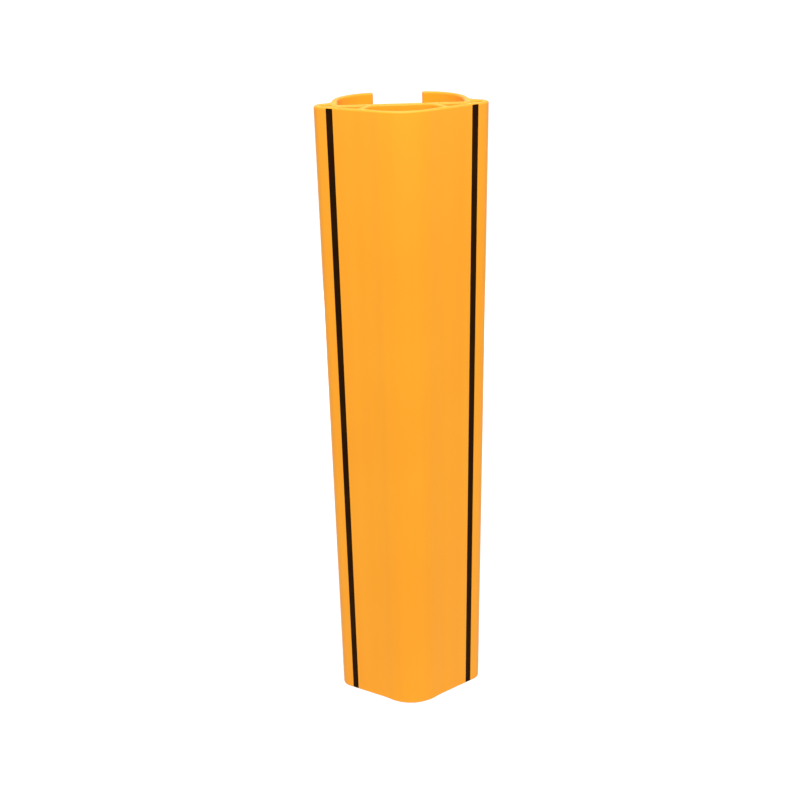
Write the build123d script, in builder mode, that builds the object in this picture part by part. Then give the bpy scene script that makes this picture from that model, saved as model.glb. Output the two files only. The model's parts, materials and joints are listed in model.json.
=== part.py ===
from build123d import *
import os
from math import atan2, cos, degrees, radians, sin

# Clip-on protector for the upright of a storage-rack frame.
#
# One tall extruded profile, cut to length: a hollow, ribbed bumper in front, a round bead along
# each side edge, and two curved arms behind that spring open to clip round the upright. A dark
# stripe is let into each front flank.
#
# +Z runs up the profile and -Y faces the traffic. The origin is on the floor, midway between the
# nose and the crown of the clip arms. The profile is the same left and right of the YZ plane.

# Driving dimensions, in millimetres and degrees
height = 600.0                # length that the profile is cut to
channel_width = 105.0         # clear width for the upright, between the two arms
wall = 5.0                    # front and rear walls of the bumper
arm_wall = 5.0                # thickness of the clip arms
arm_straight = 20.0           # from the seat back to where an arm starts to curl
arm_radius = 40.0             # outer radius that the arms curl to
sweep_angle = 83.9            # how far round its curve an arm reaches
seam_angle = 5.0              # how far round its curve an arm starts to bend
tip_flat = 0.4                # flat that is left between the two roundings of an arm's tip
channel_corner_radius = 3.0   # inside corners between the seat and the arms

nose_radius = 42.0            # rounding of the front
nose_angle = 35.5             # how far the nose curves round to each side
hollow_radius = 80.0          # hollow sweep from the nose into a flank
flank_angle = 29.0            # how far each flank falls back from the front
bead_radius = 10.0            # tube along each side edge
bead_bore_radius = 4.5        # hole through that tube
bead_reach = 14.5             # how far a bead stands out beyond its arm

rib_thickness = 5.0           # slanting ribs between the front and rear walls
rib_setback = 5.8             # from the inner end of a flank to the middle of its rib
rib_saddle_radius = 12.0      # where a rib sweeps into the rear wall of the middle chamber
chamber_corner_radius = 2.0   # other corners of the chambers

stripe_width = 6.0            # visible width, measured along the flank
stripe_thickness = 1.2        # depth that a stripe is let into the flank
stripe_undercut = 0.4         # how much wider a stripe is at its foot, on each side
stripe_inset = 12.5           # from the outermost side to the middle of a stripe
stripe_clearance = 0.05       # between a stripe and the sides of its groove

rim_radius = 1.5              # rounding of the outer edges of the two cut ends
deburr = 0.6                  # bevel round the hollows of the two cut ends

# Half widths
channel_side = channel_width / 2
arm_side = channel_side + arm_wall
bead_side = arm_side + bead_reach
bead_x = bead_side - bead_radius

# Directions of the right flank: outwards along it, and square to it into the material
tilt = radians(flank_angle)
flank_along = Vector(cos(tilt), sin(tilt))
flank_inwards = Vector(-sin(tilt), cos(tilt))

# Steps from the middle of the nose's curve: the hollow sweep takes over from the nose, the flank
# leaves the sweep where their directions agree, and runs on until it touches the bead
nose_end = Vector(sin(radians(nose_angle)), -cos(radians(nose_angle)))
to_hollow = nose_end * (nose_radius + hollow_radius)
to_flank = to_hollow + flank_inwards * hollow_radius
flank_run = (bead_x + bead_radius * sin(tilt) - to_flank.X) / cos(tilt)
to_bead = to_flank + flank_along * flank_run + flank_inwards * bead_radius

# Levels from front to back: the seat for the upright lies level with the middle of the beads
shield_depth = nose_radius + to_bead.Y
nose_y = -(shield_depth + arm_straight + arm_radius) / 2
seat_y = nose_y + shield_depth
crown_y = seat_y + arm_straight + arm_radius
rear_wall_y = seat_y - wall

# Right half of the outside, from the nose to the start of the arm's curl
nose_center = Vector(0, nose_y + nose_radius)
hollow_center = nose_center + to_hollow
flank_start = nose_center + to_flank
flank_end = flank_start + flank_along * flank_run
bead_center = nose_center + to_bead
arm_center = Vector(arm_side - arm_radius, crown_y - arm_radius)


def across_arm(angle):
    """Two points on a line across the right arm, inside and outside it, so far round its curve."""
    heading = Vector(cos(radians(angle)), sin(radians(angle)))
    return (
        arm_center + heading * (arm_radius - 2 * arm_wall),
        arm_center + heading * (arm_radius + arm_wall),
    )


tip_inside, tip_outside = across_arm(sweep_angle)
seam_inside, seam_outside = across_arm(seam_angle)

# The concave neck that leads from the bead into the arm touches both, and ends where the arm curls
bead_overhang = bead_x - arm_side
bead_to_arm = arm_center.Y - bead_center.Y
neck_radius = (bead_overhang**2 + bead_to_arm**2 - bead_radius**2) / (2 * (bead_radius + bead_overhang))
neck_center = Vector(arm_side + neck_radius, arm_center.Y)
neck_heading = degrees(atan2(bead_to_arm, neck_center.X - bead_x))

# Right half of the inside: the ribs stand square to the flanks
inner_flank_start = flank_start + flank_inwards * wall


def on_inner_flank(run):
    """Point on the inside of the right flank, this far out from its inner end."""
    return inner_flank_start + flank_along * run


def on_rear_wall(foot):
    """Point of the rear wall's front that a line square to the flank reaches from its foot."""
    return foot + flank_inwards * ((rear_wall_y - foot.Y) / flank_inwards.Y)


middle_foot = on_inner_flank(rib_setback - rib_thickness / 2)
side_foot = on_inner_flank(rib_setback + rib_thickness / 2)
side_tip = on_inner_flank((rear_wall_y - inner_flank_start.Y) / sin(tilt))

# Section of the whole profile
with BuildSketch() as section:
    with BuildLine():
        CenterArc(nose_center, nose_radius, -90, nose_angle)
        CenterArc(hollow_center, hollow_radius, 90 + nose_angle, flank_angle - nose_angle)
        Line(flank_start, flank_end)
        CenterArc(bead_center, bead_radius, flank_angle - 90, neck_heading + 90 - flank_angle)
        CenterArc(neck_center, neck_radius, neck_heading - 180, -neck_heading)
        CenterArc(arm_center, arm_radius, 0, 90)
        Line((arm_center.X, crown_y), (0, crown_y))
        mirror(about=Plane.YZ)
    make_face()

    # Channel for the upright
    with BuildLine():
        FilletPolyline(
            (0, seat_y),
            (channel_side, seat_y),
            (channel_side, crown_y - arm_wall),
            (0, crown_y - arm_wall),
            radius=(channel_corner_radius, arm_radius - arm_wall),
        )
        mirror(about=Plane.YZ)
    make_face(mode=Mode.SUBTRACT)

    # Mouth between the arms, with rounded tips beside it
    Polygon(
        (tip_inside.X, tip_inside.Y),
        (tip_outside.X, tip_outside.Y),
        (-tip_outside.X, tip_outside.Y),
        (-tip_inside.X, tip_inside.Y),
        align=None,
        mode=Mode.SUBTRACT,
    )
    tips = section.vertices().filter_by(lambda corner: corner.Y > arm_center.Y + arm_wall)
    fillet(tips, radius=(arm_wall - tip_flat) / 2)

    # Middle chamber
    with BuildLine():
        CenterArc(nose_center, nose_radius - wall, -90, nose_angle)
        CenterArc(hollow_center, hollow_radius + wall, 90 + nose_angle, flank_angle - nose_angle)
        FilletPolyline(
            inner_flank_start,
            middle_foot,
            on_rear_wall(middle_foot),
            (0, rear_wall_y),
            radius=(chamber_corner_radius, rib_saddle_radius),
        )
        mirror(about=Plane.YZ)
    make_face(mode=Mode.SUBTRACT)

    # Side chambers
    for side in (1, -1):
        with BuildLine():
            corners = [side_foot, side_tip, on_rear_wall(side_foot)]
            FilletPolyline(
                *[(side * corner.X, corner.Y) for corner in corners],
                radius=chamber_corner_radius,
                close=True,
            )
        make_face(mode=Mode.SUBTRACT)

    # Bores of the beads
    with Locations((bead_center.X, bead_center.Y), (-bead_center.X, bead_center.Y)):
        Circle(bead_bore_radius, mode=Mode.SUBTRACT)

# The profile in one piece, with both cut ends deburred
with BuildPart() as profile:
    add(section)
    extrude(amount=height)
    hollows = [wire for end in profile.faces().filter_by(Axis.Z) for wire in end.inner_wires()]
    chamfer([edge for wire in hollows for edge in wire.edges()], length=deburr)
    outlines = [end.outer_wire() for end in profile.faces().filter_by(Axis.Z)]
    fillet([edge for wire in outlines for edge in wire.edges()], radius=rim_radius)

# Space behind the seam where the right arm starts to bend
with BuildSketch() as arm_zone:
    Polygon(
        (seam_inside.X, seam_inside.Y),
        (seam_outside.X, seam_outside.Y),
        (seam_outside.X, crown_y + arm_wall),
        (0, crown_y + arm_wall),
        (0, seam_inside.Y),
        align=None,
    )

# Right clip arm, cut from the profile at the seam
with BuildPart() as right_clip_arm:
    add(profile.part)
    add(arm_zone)
    extrude(amount=height, mode=Mode.INTERSECT)

# Left clip arm
with BuildPart() as left_clip_arm:
    add(right_clip_arm.part)
    mirror(about=Plane.YZ, mode=Mode.REPLACE)

# A stripe is wider at its foot than at the flank, so its groove holds it
stripe_run = (bead_side - stripe_inset - flank_start.X) / cos(tilt)
stripe_middle = flank_start + flank_along * stripe_run


def on_stripe(along, depth):
    """Point beside the middle of the right stripe, this far out along the flank and into it."""
    point = stripe_middle + flank_along * along + flank_inwards * depth
    return (point.X, point.Y)


groove_half = stripe_width / 2 + stripe_clearance
stripe_half = stripe_width / 2
with BuildSketch() as groove:
    Polygon(
        on_stripe(-groove_half, -stripe_thickness),
        on_stripe(groove_half, -stripe_thickness),
        on_stripe(groove_half, 0),
        on_stripe(groove_half + stripe_undercut, stripe_thickness),
        on_stripe(-groove_half - stripe_undercut, stripe_thickness),
        on_stripe(-groove_half, 0),
        align=None,
    )

# Right stripe, flush with the flank, between the rounded rims of the two ends
with BuildPart() as right_stripe:
    with BuildSketch(Plane.XY.offset(rim_radius)):
        Polygon(
            on_stripe(-stripe_half, 0),
            on_stripe(stripe_half, 0),
            on_stripe(stripe_half + stripe_undercut, stripe_thickness),
            on_stripe(-stripe_half - stripe_undercut, stripe_thickness),
            align=None,
        )
    extrude(amount=height - 2 * rim_radius)

# Left stripe
with BuildPart() as left_stripe:
    add(right_stripe.part)
    mirror(about=Plane.YZ, mode=Mode.REPLACE)

# Front bumper: the profile without its arms, with a groove down each flank
with BuildPart() as front_bumper:
    add(profile.part)
    with BuildSketch():
        add(arm_zone)
        add(groove)
        mirror(about=Plane.YZ)
    extrude(amount=height, mode=Mode.SUBTRACT)

os.makedirs("parts", exist_ok=True)
pieces = {
    "front_bumper": front_bumper,
    "left_clip_arm": left_clip_arm,
    "right_clip_arm": right_clip_arm,
    "left_stripe": left_stripe,
    "right_stripe": right_stripe,
}
for name, piece in pieces.items():
    piece.part.label = name
    export_step(piece.part, f"parts/{name}.step")

hinge = arm_center + Vector(cos(radians(seam_angle)), sin(radians(seam_angle))) * arm_radius
print(f"arm hinge at x {hinge.X:.3f}, y {hinge.Y:.3f}")
print(f"bead at x {bead_center.X:.3f}, y {bead_center.Y:.3f}, neck radius {neck_radius:.3f}")
print(f"seat at y {seat_y:.3f}, crown at y {crown_y:.3f}, nose at y {nose_y:.3f}")
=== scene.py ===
# %% [markdown]
# A clip-on guard for the upright of a storage rack
#
# The real guard is one hollow plastic profile. It is pressed through a die, sawn to length and stood
# on its cut end, with two dark strips let into its front. This lesson takes the measured CAD model as
# a fixed frame and dresses it: the section is drawn again as a finer mesh, the two arms are cut off as
# pieces of their own, and both plastics get their finish. Everything keeps the size and place that the
# CAD gives.

# %% Load the CAD frame
import json
from math import acos, asin, atan2, ceil, cos, degrees, radians, sin, tan

import bmesh
import bpy
from mathutils import Matrix, Vector

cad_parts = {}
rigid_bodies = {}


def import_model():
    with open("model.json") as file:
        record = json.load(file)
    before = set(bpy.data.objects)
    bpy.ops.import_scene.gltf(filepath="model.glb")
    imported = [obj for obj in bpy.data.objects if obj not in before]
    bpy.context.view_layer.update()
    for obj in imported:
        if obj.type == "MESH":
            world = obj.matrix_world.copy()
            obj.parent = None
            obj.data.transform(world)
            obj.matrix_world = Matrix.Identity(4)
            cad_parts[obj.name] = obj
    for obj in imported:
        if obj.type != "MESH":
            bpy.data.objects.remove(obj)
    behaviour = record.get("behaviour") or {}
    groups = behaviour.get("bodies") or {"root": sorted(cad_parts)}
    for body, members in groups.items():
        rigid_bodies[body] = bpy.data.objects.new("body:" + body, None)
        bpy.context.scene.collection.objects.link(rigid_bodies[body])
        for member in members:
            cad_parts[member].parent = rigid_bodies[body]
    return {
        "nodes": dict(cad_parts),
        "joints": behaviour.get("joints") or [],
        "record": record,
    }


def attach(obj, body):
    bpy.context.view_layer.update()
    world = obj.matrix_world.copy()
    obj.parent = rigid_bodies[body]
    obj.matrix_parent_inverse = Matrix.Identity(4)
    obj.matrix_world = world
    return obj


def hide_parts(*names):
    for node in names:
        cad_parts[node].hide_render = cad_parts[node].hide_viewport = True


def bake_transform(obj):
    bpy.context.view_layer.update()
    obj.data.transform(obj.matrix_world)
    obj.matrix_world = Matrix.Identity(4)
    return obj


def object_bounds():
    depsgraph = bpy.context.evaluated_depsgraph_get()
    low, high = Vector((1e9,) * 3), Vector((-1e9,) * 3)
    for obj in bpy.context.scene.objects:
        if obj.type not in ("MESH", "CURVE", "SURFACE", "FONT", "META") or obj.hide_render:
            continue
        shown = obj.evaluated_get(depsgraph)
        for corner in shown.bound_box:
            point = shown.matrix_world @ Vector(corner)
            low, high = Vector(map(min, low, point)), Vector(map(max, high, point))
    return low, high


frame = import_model()
cad_low, cad_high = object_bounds()
print("nodes:", ", ".join(sorted(frame["nodes"])))
print("CAD box:", [round(x, 4) for x in cad_low], [round(x, 4) for x in cad_high])

# %% [markdown]
# The camera first
#
# A piece can only be compared with the photograph through the same camera, so the camera comes before
# any modelling. It stands to the left of the guard and above its top, and looks down at it. Its turn
# is made of three plain angles: how far it looks down, how far it turns to the right, and how far it
# leans. The lens is close to a normal one. The guard narrows towards the floor because the camera is
# near it and looks down.

# %% Camera
camera_place = Vector((-0.04983, -0.86623, 0.74062))
camera_down = radians(25.573)
camera_right = radians(2.920)
camera_lean = radians(-1.170)
sensor_width = 36.0
lens_length = 45.793

bpy.ops.object.camera_add(location=camera_place)
camera = bpy.context.object
camera.name = "camera"
camera_turn = (
    Matrix.Rotation(-camera_right, 3, "Z")
    @ Matrix.Rotation(radians(90) - camera_down, 3, "X")
    @ Matrix.Rotation(camera_lean, 3, "Z")
)
camera.rotation_euler = camera_turn.to_euler()
camera.data.sensor_width = sensor_width
camera.data.lens = lens_length
bpy.context.scene.camera = camera
print("camera looks along", [round(x, 3) for x in camera_turn @ Vector((0, 0, -1))])

# %% [markdown]
# The sizes of the section
#
# The profile has the same section all the way up, so its whole shape is one flat drawing. The length,
# the tip of the nose and the seat for the upright are read from the frame, and the rest repeats the
# sizes that the CAD model is drawn from. The drawing is in millimetres, because some of Blender's tools
# merge points that are very close, and a finished piece is scaled to metres once.

# %% Sizes, in millimetres and degrees
per_metre = 1000
mounts = {mount["name"]: mount for mount in frame["record"]["mounts"]}
joints = {joint["child"]: joint for joint in frame["joints"]}
height = cad_high.z * per_metre
nose_y = cad_low.y * per_metre
seat_y = mounts["upright_seat"]["pos_m"][1] * per_metre

channel_width = 105.0         # clear width for the upright, between the two arms
wall = 5.0                    # front and rear walls of the bumper
arm_wall = 5.0                # thickness of the arms
arm_straight = 20.0           # from the seat back to where an arm starts to curl
arm_radius = 40.0             # outer radius that the arms curl to
sweep_angle = 83.9            # how far round its curve an arm reaches
tip_flat = 0.4                # flat that is left between the two roundings of an arm's tip
channel_corner_radius = 3.0   # inside corners between the seat and the arms
nose_radius = 42.0            # rounding of the front
nose_angle = 35.5             # how far the nose curves round to each side
hollow_radius = 80.0          # hollow sweep from the nose into a flank
flank_angle = 29.0            # how far each flank falls back from the front
bead_radius = 10.0            # tube along each side edge
bead_bore_radius = 4.5        # hole through that tube
bead_reach = 14.5             # how far a bead stands out beyond its arm
rib_thickness = 5.0           # slanting ribs between the front and rear walls
rib_setback = 5.8             # from the inner end of a flank to the middle of its rib
rib_saddle_radius = 12.0      # where a rib sweeps into the rear wall of the middle chamber
chamber_corner_radius = 2.0   # other corners of the chambers
stripe_width = 6.0            # visible width, measured along the flank
stripe_thickness = 1.2        # depth that a stripe is let into the flank
stripe_undercut = 0.4         # how much wider a stripe is at its foot, on each side
stripe_inset = 12.5           # from the outermost side to the middle of a stripe
stripe_clearance = 0.05       # between a stripe and the sides of its groove
rim_radius = 1.5              # rounding of the edges of the two cut ends
print(f"height {height:.1f} mm, nose at {nose_y:.2f} mm, seat at {seat_y:.2f} mm")

# %% Points of the right half
channel_side = channel_width / 2
arm_side = channel_side + arm_wall
bead_side = arm_side + bead_reach
bead_x = bead_side - bead_radius
rear_wall_y = seat_y - wall

tilt = radians(flank_angle)
flank_along = Vector((cos(tilt), sin(tilt)))
flank_inwards = Vector((-sin(tilt), cos(tilt)))

nose_tip = Vector((0, nose_y))
nose_center = Vector((0, nose_y + nose_radius))
nose_end = Vector((sin(radians(nose_angle)), -cos(radians(nose_angle))))
hollow_center = nose_center + nose_end * (nose_radius + hollow_radius)
flank_start = hollow_center + flank_inwards * hollow_radius
flank_run = (bead_x + bead_radius * sin(tilt) - flank_start.x) / cos(tilt)
flank_end = flank_start + flank_along * flank_run
bead_center = flank_end + flank_inwards * bead_radius
arm_center = Vector((arm_side - arm_radius, seat_y + arm_straight))

# The hollow neck from the bead into the arm touches both, and ends where the arm starts to curl
bead_overhang = bead_x - arm_side
bead_to_arm = arm_center.y - bead_center.y
neck_radius = (bead_overhang**2 + bead_to_arm**2 - bead_radius**2) / (2 * (bead_radius + bead_overhang))
neck_center = Vector((arm_side + neck_radius, arm_center.y))
neck_heading = degrees(atan2(bead_to_arm, neck_center.x - bead_x))

stripe_run = (bead_side - stripe_inset - flank_start.x) / cos(tilt)
stripe_middle = flank_start + flank_along * stripe_run
print(f"bead at {bead_center.x:.2f}, {bead_center.y:.2f} mm")
print(f"stripe at {stripe_middle.x:.2f}, {stripe_middle.y:.2f} mm")

# %% [markdown]
# A pen made of one vertex
#
# A die is cut along lines and arcs, and the section can be drawn the same way. A plane merged into one
# vertex makes a pen: extruding it draws a line, and spinning it about a centre draws an arc. Typing in
# hundreds of points would give the same outline, but nobody could change a radius in it afterwards.

# %% The pen
flatness = 0.006              # how far the middle of an arc's straight step may lie inside the arc


def largest_step(radius):
    """Largest angle of one step on an arc of this radius, in radians."""
    return 2 * acos(1 - flatness / radius)


class Pen:
    """One selected vertex in edit mode that leaves edges behind it as it moves, in millimetres."""

    def __init__(self, start):
        bpy.ops.mesh.primitive_plane_add(size=1)
        bpy.ops.object.mode_set(mode="EDIT")
        bpy.ops.mesh.select_mode(type="VERT")
        bpy.ops.mesh.merge(type="CENTER")
        bpy.ops.transform.translate(value=(*start, 0))
        self.place = Vector(start)

    def line_to(self, point):
        """Draw a straight line."""
        step = Vector(point) - self.place
        bpy.ops.mesh.extrude_vertices_move(TRANSFORM_OT_translate={"value": (*step, 0)})
        self.place = Vector(point)

    def swing(self, center, turn):
        """Draw an arc about a centre, anticlockwise by so many degrees."""
        spoke = self.place - center
        steps = ceil(abs(radians(turn)) / largest_step(spoke.length))
        bpy.ops.mesh.spin(steps=steps, angle=-radians(turn), center=(*center, 0), axis=(0, 0, 1))
        spoke.rotate(Matrix.Rotation(radians(turn), 2))
        self.place = center + spoke

    def round_corner(self, corner, towards, radius):
        """Draw up to a corner and round it, ready to draw on towards the next point."""
        arriving = (corner - self.place).normalized()
        leaving = (towards - corner).normalized()
        turn = atan2(arriving.x * leaving.y - arriving.y * leaving.x, arriving.dot(leaving))
        self.line_to(corner - arriving * radius * tan(abs(turn) / 2))
        left = Vector((-arriving.y, arriving.x))
        center = self.place + left * (radius if turn > 0 else -radius)
        self.swing(center, degrees(turn))


print("largest step on the nose:", round(degrees(largest_step(nose_radius)), 2), "degrees")

# %% [markdown]
# The section
#
# Only the right half is drawn. The outside starts at the nose and runs along the flank, round the bead
# and its neck, and along the arm to its rounded tip. It comes back on the inside of the arm and ends on
# the seat. The chambers and the bore of the bead follow as lines of their own in the same mesh.

# %% Outside of the right half
bpy.ops.object.select_all(action="DESELECT")
pen = Pen(nose_tip)
section = bpy.context.object
section.name = "bumper_shell"
pen.swing(nose_center, nose_angle)
pen.swing(hollow_center, flank_angle - nose_angle)
pen.line_to(flank_end)
pen.swing(bead_center, neck_heading + 90 - flank_angle)
pen.swing(neck_center, -neck_heading)

tip_round = (arm_wall - tip_flat) / 2
outer_reach = arm_radius - tip_round
inner_reach = arm_radius - arm_wall + tip_round
outer_swing = sweep_angle - degrees(asin(tip_round / outer_reach))
inner_swing = sweep_angle - degrees(asin(tip_round / inner_reach))


def round_the_arm(reach, angle):
    """Point so far from the centre of the right arm's curve and so far round it."""
    return arm_center + reach * Vector((cos(radians(angle)), sin(radians(angle))))


pen.swing(arm_center, outer_swing)
pen.swing(round_the_arm(outer_reach, outer_swing), 90 + sweep_angle - outer_swing)
pen.line_to(round_the_arm(inner_reach * cos(radians(sweep_angle - inner_swing)), sweep_angle))
pen.swing(round_the_arm(inner_reach, inner_swing), 90 - sweep_angle + inner_swing)
pen.swing(arm_center, -inner_swing)
pen.round_corner(Vector((channel_side, seat_y)), Vector((0, seat_y)), channel_corner_radius)
pen.line_to((0, seat_y))
print("outside:", len(bmesh.from_edit_mesh(section.data).verts), "points")

# %% Hollows of the right half
inner_flank_start = flank_start + flank_inwards * wall


def on_inner_flank(run):
    """Point on the inside of the right flank, this far out from its inner end."""
    return inner_flank_start + flank_along * run


def on_rear_wall(foot):
    """Point of the rear wall's front that a line square to the flank reaches from its foot."""
    return foot + flank_inwards * ((rear_wall_y - foot.y) / flank_inwards.y)


middle_foot = on_inner_flank(rib_setback - rib_thickness / 2)
side_foot = on_inner_flank(rib_setback + rib_thickness / 2)
side_tip = on_inner_flank((rear_wall_y - inner_flank_start.y) / sin(tilt))

pen = Pen((0, rear_wall_y))
pen.round_corner(on_rear_wall(middle_foot), middle_foot, rib_saddle_radius)
pen.round_corner(middle_foot, inner_flank_start, chamber_corner_radius)
pen.line_to(inner_flank_start)
pen.swing(hollow_center, nose_angle - flank_angle)
pen.swing(nose_center, -nose_angle)

corners = [side_tip, on_rear_wall(side_foot), side_foot]
pen = Pen((side_foot + side_tip) / 2)
for corner, towards in zip(corners, corners[1:] + corners[:1]):
    pen.round_corner(corner, towards, chamber_corner_radius)
pen.line_to((side_foot + side_tip) / 2)

bore_steps = ceil(radians(360) / largest_step(bead_bore_radius))
bpy.ops.mesh.primitive_circle_add(
    vertices=bore_steps, radius=bead_bore_radius, fill_type="NOTHING", location=(*bead_center, 0)
)
bpy.ops.mesh.select_all(action="SELECT")
bpy.ops.mesh.remove_doubles(threshold=flatness / 2)
print("half section:", len(bmesh.from_edit_mesh(section.data).verts), "points")
bpy.ops.object.mode_set(mode="OBJECT")

# %% [markdown]
# From the section to the profile
#
# A Mirror modifier adds the left half and joins it along the middle. Fill then covers everything
# between the outlines and leaves the hollows open, and one extrusion makes the profile. A saw leaves
# sharp rims that are scraped off afterwards. Beveling them would follow every edge of the filled ends,
# so each end is inset in small steps instead, and each step also rises along a quarter circle.

# %% Mirror, fill and extrude
def activate(piece):
    """Make this piece the only selected one, and the one that operators work on."""
    bpy.ops.object.select_all(action="DESELECT")
    piece.select_set(True)
    bpy.context.view_layer.objects.active = piece


def apply_modifier(piece, kind, **settings):
    """Add a modifier to the piece, set it up and apply it."""
    activate(piece)
    bpy.ops.object.modifier_add(type=kind)
    modifier = piece.modifiers[-1]
    for name, value in settings.items():
        setattr(modifier, name, value)
    bpy.ops.object.modifier_apply(modifier=modifier.name)


def face_outwards():
    """Select the whole mesh in edit mode and turn its faces outwards."""
    bpy.ops.mesh.select_all(action="SELECT")
    bpy.ops.mesh.normals_make_consistent(inside=False)


apply_modifier(section, "MIRROR", merge_threshold=flatness / 2)
bpy.ops.object.mode_set(mode="EDIT")
bpy.ops.mesh.select_all(action="SELECT")
bpy.ops.transform.translate(value=(0, 0, rim_radius))
bpy.ops.mesh.fill(use_beauty=True)
bpy.ops.mesh.select_all(action="SELECT")
bpy.ops.mesh.extrude_region_move(TRANSFORM_OT_translate={"value": (0, 0, height - 2 * rim_radius)})
face_outwards()
print("profile:", len(bmesh.from_edit_mesh(section.data).faces), "faces")

# %% Round the rims of both ends
rim_steps = 4
level_enough = 0.9            # share of its normal along Z that a face of a cut end has at least


def choose_faces(test):
    """Select just the faces of the mesh in edit mode that pass the test."""
    bpy.ops.mesh.select_mode(type="FACE")
    bpy.ops.mesh.select_all(action="DESELECT")
    for face in bmesh.from_edit_mesh(bpy.context.object.data).faces:
        if test(face):
            face.select_set(True)
    bmesh.update_edit_mesh(bpy.context.object.data)


for facing in (1, -1):
    choose_faces(lambda face: face.normal.z * facing > level_enough)
    for step in range(rim_steps):
        from_angle = radians(90) * step / rim_steps
        to_angle = radians(90) * (step + 1) / rim_steps
        bpy.ops.mesh.inset(
            thickness=rim_radius * (cos(from_angle) - cos(to_angle)),
            depth=rim_radius * (sin(to_angle) - sin(from_angle)),
        )
print("with rims:", len(bmesh.from_edit_mesh(section.data).faces), "faces")

# %% [markdown]
# The arms
#
# On the real guard the arms and the bumper are one material, and the arms bend near their roots when
# the guard is pushed on to an upright. So each arm becomes a piece of its own, cut off at the place
# where the CAD model puts its hinge. A bisect leaves the same facet on both sides of the cut, which
# keeps the seam out of sight, and both cuts are closed.

# %% Cut the arms off
near_root = channel_side - arm_wall    # only faces further out than this are cut
pieces_cut = {}
for body, name in (("right_arm", "right_spring_arm"), ("left_arm", "left_spring_arm")):
    seam_point = Vector(joints[body]["pos_m"]) * per_metre
    side = 1 if seam_point.x > 0 else -1
    root = seam_point.xy - Vector((side * arm_center.x, arm_center.y))
    seam_normal = Vector((-side * root.y, side * root.x, 0)).normalized()
    choose_faces(lambda face: side * face.calc_center_median().x > near_root)
    bpy.ops.mesh.bisect(plane_co=seam_point, plane_no=seam_normal)
    choose_faces(
        lambda face: side * face.calc_center_median().x > 0
        and (face.calc_center_median() - seam_point).dot(seam_normal) > 0
    )
    others = set(bpy.data.objects)
    bpy.ops.mesh.separate(type="SELECTED")
    arm = (set(bpy.data.objects) - others).pop()
    arm.name = name
    pieces_cut[body] = arm
    print(name, "cut off at", [round(x, 2) for x in seam_point.xy], "mm")
bpy.ops.object.mode_set(mode="OBJECT")
pieces_cut["bumper"] = section

# %% Close the cuts
for piece in pieces_cut.values():
    activate(piece)
    bpy.ops.object.mode_set(mode="EDIT")
    bpy.ops.mesh.select_all(action="SELECT")
    bpy.ops.mesh.fill_holes(sides=0)
    face_outwards()
    bpy.ops.object.mode_set(mode="OBJECT")
    print(piece.name, len(piece.data.polygons), "faces")

# %% [markdown]
# The dark strips and their grooves
#
# Each strip is a second plastic in a groove that is wider at its foot, so the strip cannot fall out.
# The same pen draws the section of both, and each becomes a solid that stops just short of the sawn
# ends. A Boolean modifier keeps what the strip's solid shares with the shell, so the strip is rounded
# with the rims, and another one takes the groove out of the shell. The strip lies a hair below the
# flank, and small bevels along it show the joint as a fine line on both sides.

# %% Solids along the stripe
stripe_setback = 0.7          # from a sawn end to the end of a strip
stripe_length = height - 2 * stripe_setback


def on_stripe(along, depth):
    """Point beside the middle of the right stripe, this far out along the flank and into it."""
    return stripe_middle + flank_along * along + flank_inwards * depth


def dovetail_solid(half_width, top, foot):
    """A solid along the right stripe between two depths, so wide at the flank and wider at its foot."""
    top_half = half_width + stripe_undercut * top / stripe_thickness
    foot_half = half_width + stripe_undercut * foot / stripe_thickness
    bpy.ops.object.select_all(action="DESELECT")
    pen = Pen(on_stripe(-top_half, top))
    pen.line_to(on_stripe(top_half, top))
    pen.line_to(on_stripe(foot_half, foot))
    pen.line_to(on_stripe(-foot_half, foot))
    bpy.ops.mesh.select_all(action="SELECT")
    bpy.ops.mesh.edge_face_add()
    bpy.ops.transform.translate(value=(0, 0, stripe_setback))
    bpy.ops.mesh.extrude_region_move(TRANSFORM_OT_translate={"value": (0, 0, stripe_length)})
    face_outwards()
    return bpy.context.object


print(f"stripes {stripe_length:.1f} mm long")

# %% Right strip, then its mirror image
stripe_half = stripe_width / 2
stripe_recess = 0.05          # depth of a strip's face below the flank
strip_bevel = 0.15
bevel_steps = 2

right_strip = dovetail_solid(stripe_half, stripe_recess, stripe_thickness)
right_strip.name = "right_dark_strip"
bpy.ops.mesh.bevel(offset=strip_bevel, segments=bevel_steps, affect="EDGES")
bpy.ops.object.mode_set(mode="OBJECT")
apply_modifier(right_strip, "BOOLEAN", object=section, operation="INTERSECT", solver="EXACT")
bpy.ops.object.duplicate()
left_strip = bpy.context.object
left_strip.name = "left_dark_strip"
left_strip.scale.x = -1
bpy.ops.object.transform_apply(location=False, rotation=False, scale=True)
bpy.ops.object.mode_set(mode="EDIT")
face_outwards()
bpy.ops.object.mode_set(mode="OBJECT")
print("strips:", len(right_strip.data.polygons), "faces each")

# %% Cut the grooves
groove = dovetail_solid(stripe_half + stripe_clearance, -stripe_thickness, stripe_thickness)
bpy.ops.object.mode_set(mode="OBJECT")
apply_modifier(groove, "MIRROR")
apply_modifier(section, "BOOLEAN", object=groove, operation="DIFFERENCE", solver="EXACT")
activate(groove)
bpy.ops.object.delete()
print("shell with grooves:", len(section.data.polygons), "faces")

# %% Scale the pieces to metres and smooth them
smooth_below = radians(35)

for piece in (*pieces_cut.values(), right_strip, left_strip):
    activate(piece)
    piece.scale = [1 / per_metre] * 3
    bpy.ops.object.transform_apply(location=False, rotation=False, scale=True)
    bpy.ops.object.shade_smooth_by_angle(angle=smooth_below)
    apply_modifier(piece, "WEIGHTED_NORMAL", keep_sharp=True)
    print(piece.name, len(piece.data.polygons), "faces")

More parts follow.
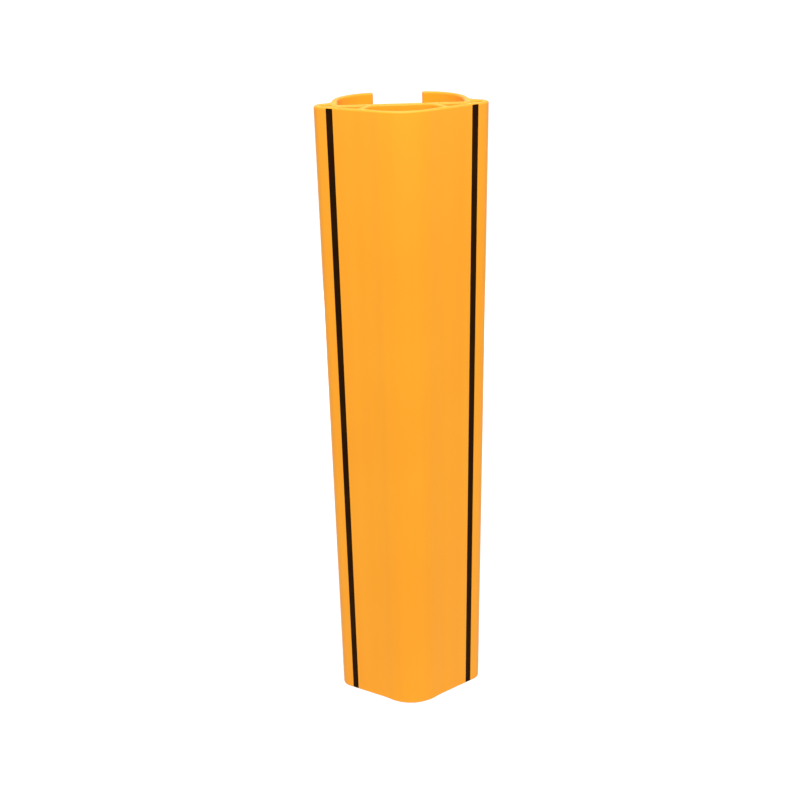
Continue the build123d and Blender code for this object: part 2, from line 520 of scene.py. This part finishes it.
# %% [markdown]
# Nodes as sums
#
# A finish is a few textures, mixed and scaled. Wiring Math nodes one by one hides what is meant, so one
# small class wraps an output socket: adding or multiplying two of them adds the Math node that does it.
# Every other node comes from one method that sets the node up and then fills its sockets.

# %% A wire that can be reckoned with
class Wire:
    """An output socket in a node tree. Arithmetic on it adds Math nodes."""

    def __init__(self, tree, socket=None):
        self.tree = tree
        self.socket = socket

    def node(self, kind, settings=None, sockets=None, output=0):
        """Add a node, set it up, give each named socket a value or a wire, and return one output."""
        made = self.tree.nodes.new(kind)
        for name, value in (settings or {}).items():
            setattr(made, name, value)
        for name, value in (sockets or {}).items():
            if isinstance(value, Wire):
                self.tree.links.new(value.socket, made.inputs[name])
            else:
                made.inputs[name].default_value = value
        return Wire(self.tree, None if output is None else made.outputs[output])

    def math(self, operation, first, second=0.0):
        """A Math node on one or two values or wires."""
        return self.node("ShaderNodeMath", {"operation": operation}, {0: first, 1: second})

    def __add__(self, other):
        return self.math("ADD", self, other)

    def __radd__(self, other):
        return self.math("ADD", other, self)

    def __sub__(self, other):
        return self.math("SUBTRACT", self, other)

    def __rsub__(self, other):
        return self.math("SUBTRACT", other, self)

    def __mul__(self, other):
        return self.math("MULTIPLY", self, other)

    def __rmul__(self, other):
        return self.math("MULTIPLY", other, self)

    def between(self, low, high):
        """0 below low, 1 above high, and a smooth step from one to the other."""
        return self.node(
            "ShaderNodeMapRange",
            {"interpolation_type": "SMOOTHSTEP"},
            {"Value": self, "From Min": low, "From Max": high},
        )

    def blend(self, first, second):
        """The first colour where this wire is 0 and the second where it is 1."""
        return self.node(
            "ShaderNodeMix",
            {"data_type": "RGBA"},
            {"Factor": self, "A": first, "B": second},
            "Result",
        )


print("node helper ready")

# %% Helpers for a finish
relief_depth = 0.00002        # height of a relief where its map is 1, in metres


def principled(name):
    """A new material, its shader and a wire to start its nodes from."""
    material = bpy.data.materials.new(name)
    material.use_nodes = True
    shader = material.node_tree.nodes["Principled BSDF"]
    return material, shader, Wire(material.node_tree)


def noise(place, stretch, scale, detail):
    """Noise that is drawn out along the profile: a stretch of 1 is even, and near 0 gives long lines."""
    mapped = place.node("ShaderNodeMapping", None, {"Vector": place, "Scale": (1, 1, stretch)})
    return place.node("ShaderNodeTexNoise", None, {"Vector": mapped, "Scale": scale, "Detail": detail})


def relief(height_map):
    """A bumped normal from a height map."""
    sockets = {"Height": height_map, "Strength": 1.0, "Distance": relief_depth}
    return height_map.node("ShaderNodeBump", None, sockets)


def feed(shader, wires):
    """Link a wire to each named socket of the shader."""
    for name, wire in wires.items():
        wire.tree.links.new(wire.socket, shader.inputs[name])


print("relief:", relief_depth * per_metre, "mm deep")

# %% [markdown]
# The orange-yellow plastic
#
# A profile that comes out of a die has its own kind of surface. Fine lines run along it for its whole
# length, broad bands of slightly different tone lie between them, and the hue drifts a little as the
# plastic cools. The sawn ends are rougher, with the curved marks of the blade, and their paler lemon
# colour is partly the sawn plastic and partly painted light from above on the end faces. A narrow band
# along each rim takes a little of that colour, partly as whitening from the saw and partly as a painted
# highlight. All of it is made of noise and waves in the frame's own coordinates, so the bumper and its
# arms share one continuous finish. The two masks that it needs come from the height and the normal.

# %% Yellow polymer: where the cut ends are
# The end faces' pale colour is partly the sawn plastic and partly painted light from above; these shares
# of the normal set where it starts and where it is complete.
cut_from = 0.9                # share of a normal along Z where the look of a cut end starts
cut_full = 0.995              # and where it is complete
# The paler band along each rim is partly whitening from the saw and partly a painted highlight on the
# rounding.
rim_whitening_and_highlight_reach = 0.0012        # how far from a cut end its rim is still paler

yellow, shader, start = principled("yellow_polymer_finish")
place = start.node("ShaderNodeTexCoord", output="Object")
normal = start.node("ShaderNodeTexCoord", output="Normal")
normal_z = start.node("ShaderNodeSeparateXYZ", None, {0: normal}, "Z")
up = start.node("ShaderNodeSeparateXYZ", None, {0: place}, "Z")
cut_end = start.math("ABSOLUTE", normal_z).between(cut_from, cut_full)
to_end = start.math("MINIMUM", up, cad_high.z - up)
near_end = 1 - to_end.between(0, rim_whitening_and_highlight_reach)
print("masks:", len(yellow.node_tree.nodes), "nodes")

# %% Yellow polymer: lines, bands, drift and saw marks
long_lines = 0.004            # stretch of what the die leaves along the profile
even = 1                      # stretch of noise that has no direction
line_scale = 700
band_scale = 90
drift_scale = 9
fine_detail = 3
soft_detail = 2
blade_center = (-0.16, -0.05, 0)
saw_scale = 240
saw_waver = 2.0               # how far the saw marks stray from true arcs

die_lines = noise(place, long_lines, line_scale, fine_detail)
broad_bands = noise(place, long_lines, band_scale, soft_detail)
drift = noise(place, even, drift_scale, soft_detail)
from_blade = [-x for x in blade_center]
saw_place = start.node("ShaderNodeMapping", None, {"Vector": place, "Location": from_blade})
saw_marks = start.node(
    "ShaderNodeTexWave",
    {"wave_type": "RINGS", "rings_direction": "Z"},
    {"Vector": saw_place, "Scale": saw_scale, "Distortion": saw_waver, "Detail": soft_detail},
    "Fac",
)
print("masks and textures:", len(yellow.node_tree.nodes), "nodes")

# %% Yellow polymer: colour, relief and sheen
deep_yellow = (0.965, 0.356, 0.009, 1)
light_yellow = (0.98, 0.381, 0.012, 1)
# The pale lemon of the end faces is partly the sawn plastic's own colour and partly painted light from
# above.
sawn_and_painted_light_yellow = (0.98, 0.58, 0.08, 1)
band_share = 0.4              # of the bands in the tone, where the rest is drift
deep_below = 0.3
light_above = 0.7
saw_share = 0.2               # of the saw marks in the colour of a cut end
rim_share = 0.2               # of a cut end's colour in the colour of its rim
line_height = 0.5
band_height = 0.6
saw_height = 1.2
skin_roughness = 0.42
band_roughness = 0.1
cut_roughness = 0.16
yellow_specular = 0.4

tone = band_share * broad_bands + (1 - band_share) * drift
skin = tone.between(deep_below, light_above).blend(deep_yellow, light_yellow)
# Painted light: the end faces take a pale lemon colour that is partly the sawn plastic and partly
# painted light from above.
pale_cut_and_painted_light = cut_end * (1 - saw_share + saw_share * saw_marks)
# A narrow band along each rim takes a share of that colour, partly saw whitening and partly a painted
# highlight.
color = start.math("MAXIMUM", pale_cut_and_painted_light, rim_share * near_end).blend(skin, sawn_and_painted_light_yellow)
along = (line_height * die_lines + band_height * broad_bands) * (1 - cut_end)
height_map = along + saw_height * saw_marks * cut_end
roughness = skin_roughness + band_roughness * broad_bands + cut_roughness * cut_end

shader.inputs["Specular IOR Level"].default_value = yellow_specular
feed(shader, {"Base Color": color, "Roughness": roughness, "Normal": relief(height_map)})
print("yellow polymer:", len(yellow.node_tree.nodes), "nodes")

# %% [markdown]
# The near-black strip
#
# The strip leaves the die together with the rest, so it has the same kind of fine lines. Black plastic
# shows little but its sheen, and this strip hardly shines, so its specular level is kept low and a
# slight wear makes it browner in places.

# %% Black inlay
near_black = (0.016, 0.0045, 0.0002, 1)
worn_black = (0.024, 0.008, 0.0006, 1)
strip_line_scale = 900
wear_scale = 30
fresh_below = 0.4
worn_above = 0.75
strip_roughness = 0.5
wear_roughness = 0.14
strip_specular = 0.03

black, shader, start = principled("black_inlay_finish")
place = start.node("ShaderNodeTexCoord", output="Object")
die_lines = noise(place, long_lines, strip_line_scale, fine_detail)
wear = noise(place, even, wear_scale, fine_detail)
color = wear.between(fresh_below, worn_above).blend(near_black, worn_black)
roughness = strip_roughness + wear_roughness * wear
shader.inputs["Specular IOR Level"].default_value = strip_specular
feed(shader, {"Base Color": color, "Roughness": roughness, "Normal": relief(die_lines)})
print("black inlay:", len(black.node_tree.nodes), "nodes")

# %% [markdown]
# Pieces in place of the CAD nodes
#
# Each piece is listed with the CAD node that it stands for, its material and a slot name, and that node
# is hidden. The bumper and both strips follow the bumper's body. The arms follow no body: their
# placement is only baked into their meshes, and they do not bend.

dressed = {
    "front_bumper": (pieces_cut["bumper"], yellow, "yellow_polymer"),
    "right_clip_arm": (pieces_cut["right_arm"], yellow, "yellow_polymer"),
    "left_clip_arm": (pieces_cut["left_arm"], yellow, "yellow_polymer"),
    "right_stripe": (right_strip, black, "black_inlay"),
    "left_stripe": (left_strip, black, "black_inlay"),
}
for node, (piece, material, slot) in dressed.items():
    piece.data.materials.clear()
    piece.data.materials.append(material)
    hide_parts(node)

for piece in (pieces_cut["bumper"], right_strip, left_strip):
    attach(piece, "bumper")

for body in ("right_arm", "left_arm"):
    hinge = Vector(joints[body]["pos_m"])
    side = 1 if hinge.x > 0 else -1
    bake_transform(pieces_cut[body])

# %% [markdown]
# Floor, background and light
#
# The guard stands on a plain white floor. A wide soft sun from the camera's side gives the front its
# shape while its shadow stays mostly hidden. A softbox on each side and one behind light the side edges
# and the arms, and a small lamp above and in front of the open end reaches into the hollows. The light
# from all round is weak, because alone it would flatten every form. The floor reflects like pale paper,
# and what the camera sees of it is lifted to white, so the shadow stays but the background does not
# turn grey.

# %% Floor
floor_size = 60.0
floor_reflects = 0.35
floor_lift = 0.8

bpy.ops.mesh.primitive_plane_add(size=floor_size)
floor = bpy.context.object
floor.name = "floor"
floor_material = bpy.data.materials.new("floor_paper")
floor_material.use_nodes = True
floor_material.node_tree.nodes.clear()
start = Wire(floor_material.node_tree)


def seen_rays(start):
    """1 for the rays that show the background to the camera, straight or in a reflection."""
    camera_ray = start.node("ShaderNodeLightPath", output="Is Camera Ray")
    glossy_ray = start.node("ShaderNodeLightPath", output="Is Glossy Ray")
    through_ray = start.node("ShaderNodeLightPath", output="Is Transmission Ray")
    return start.math("MINIMUM", camera_ray + glossy_ray + through_ray, 1.0)


paper = start.node("ShaderNodeBsdfDiffuse", None, {"Color": [floor_reflects] * 3 + [1]})
lift = start.node("ShaderNodeEmission", None, {"Strength": floor_lift * seen_rays(start)})
both = start.node("ShaderNodeAddShader", None, {0: paper, 1: lift})
start.node("ShaderNodeOutputMaterial", None, {"Surface": both}, None)
floor.data.materials.append(floor_material)
print("floor:", floor_size, "m wide")

# %% World
fill_level = 0.3
backdrop_level = 1.0
white = (1, 1, 1, 1)

world = bpy.data.worlds.new("studio")
bpy.context.scene.world = world
world.use_nodes = True
world.node_tree.nodes.clear()
start = Wire(world.node_tree)
fill = start.node("ShaderNodeBackground", None, {"Color": white, "Strength": fill_level})
backdrop = start.node("ShaderNodeBackground", None, {"Color": white, "Strength": backdrop_level})
shown = start.node("ShaderNodeMixShader", None, {"Fac": seen_rays(start), 1: fill, 2: backdrop})
start.node("ShaderNodeOutputWorld", None, {"Surface": shown}, None)
bpy.context.scene.view_settings.view_transform = "Standard"
print("world:", fill_level, "of light from all round")

# %% Lamps
sun_power = 2.38
sun_softness = radians(50)
sun_from = Vector((0.0, -1.0, 0.8))
softbox_power = 4.0
softbox_size = 0.6
softbox_place = Vector((1.25, -0.45, 0.95))
softbox_aim = Vector((0.0, 0.0, 0.4))
rear_softbox_power = 10.0
rear_softbox_size = 0.5
rear_softbox_place = Vector((0.0, 1.3, 0.35))
top_lamp_power = 0.22
top_lamp_size = 0.1
top_lamp_place = Vector((0.0, -0.14, 0.8))
top_lamp_aim = Vector((0.0, 0.0, 0.6))

bpy.ops.object.light_add(type="SUN", location=sun_from)
sun = bpy.context.object
sun.name = "front_sun"
sun.rotation_euler = sun_from.to_track_quat("Z", "Y").to_euler()
sun.data.energy = sun_power
sun.data.angle = sun_softness


def area_lamp(name, place, aim, size, power):
    """A square lamp that faces the aim."""
    bpy.ops.object.light_add(type="AREA", location=place)
    lamp = bpy.context.object
    lamp.name = name
    lamp.rotation_euler = (place - aim).to_track_quat("Z", "Y").to_euler()
    lamp.data.size = size
    lamp.data.energy = power


other_side = softbox_place * Vector((-1, 1, 1))
area_lamp("right_softbox", softbox_place, softbox_aim, softbox_size, softbox_power)
area_lamp("left_softbox", other_side, softbox_aim, softbox_size, softbox_power)
area_lamp("rear_softbox", rear_softbox_place, softbox_aim, rear_softbox_size, rear_softbox_power)
area_lamp("top_lamp", top_lamp_place, top_lamp_aim, top_lamp_size, top_lamp_power)
print("lamps:", len(bpy.data.lights))
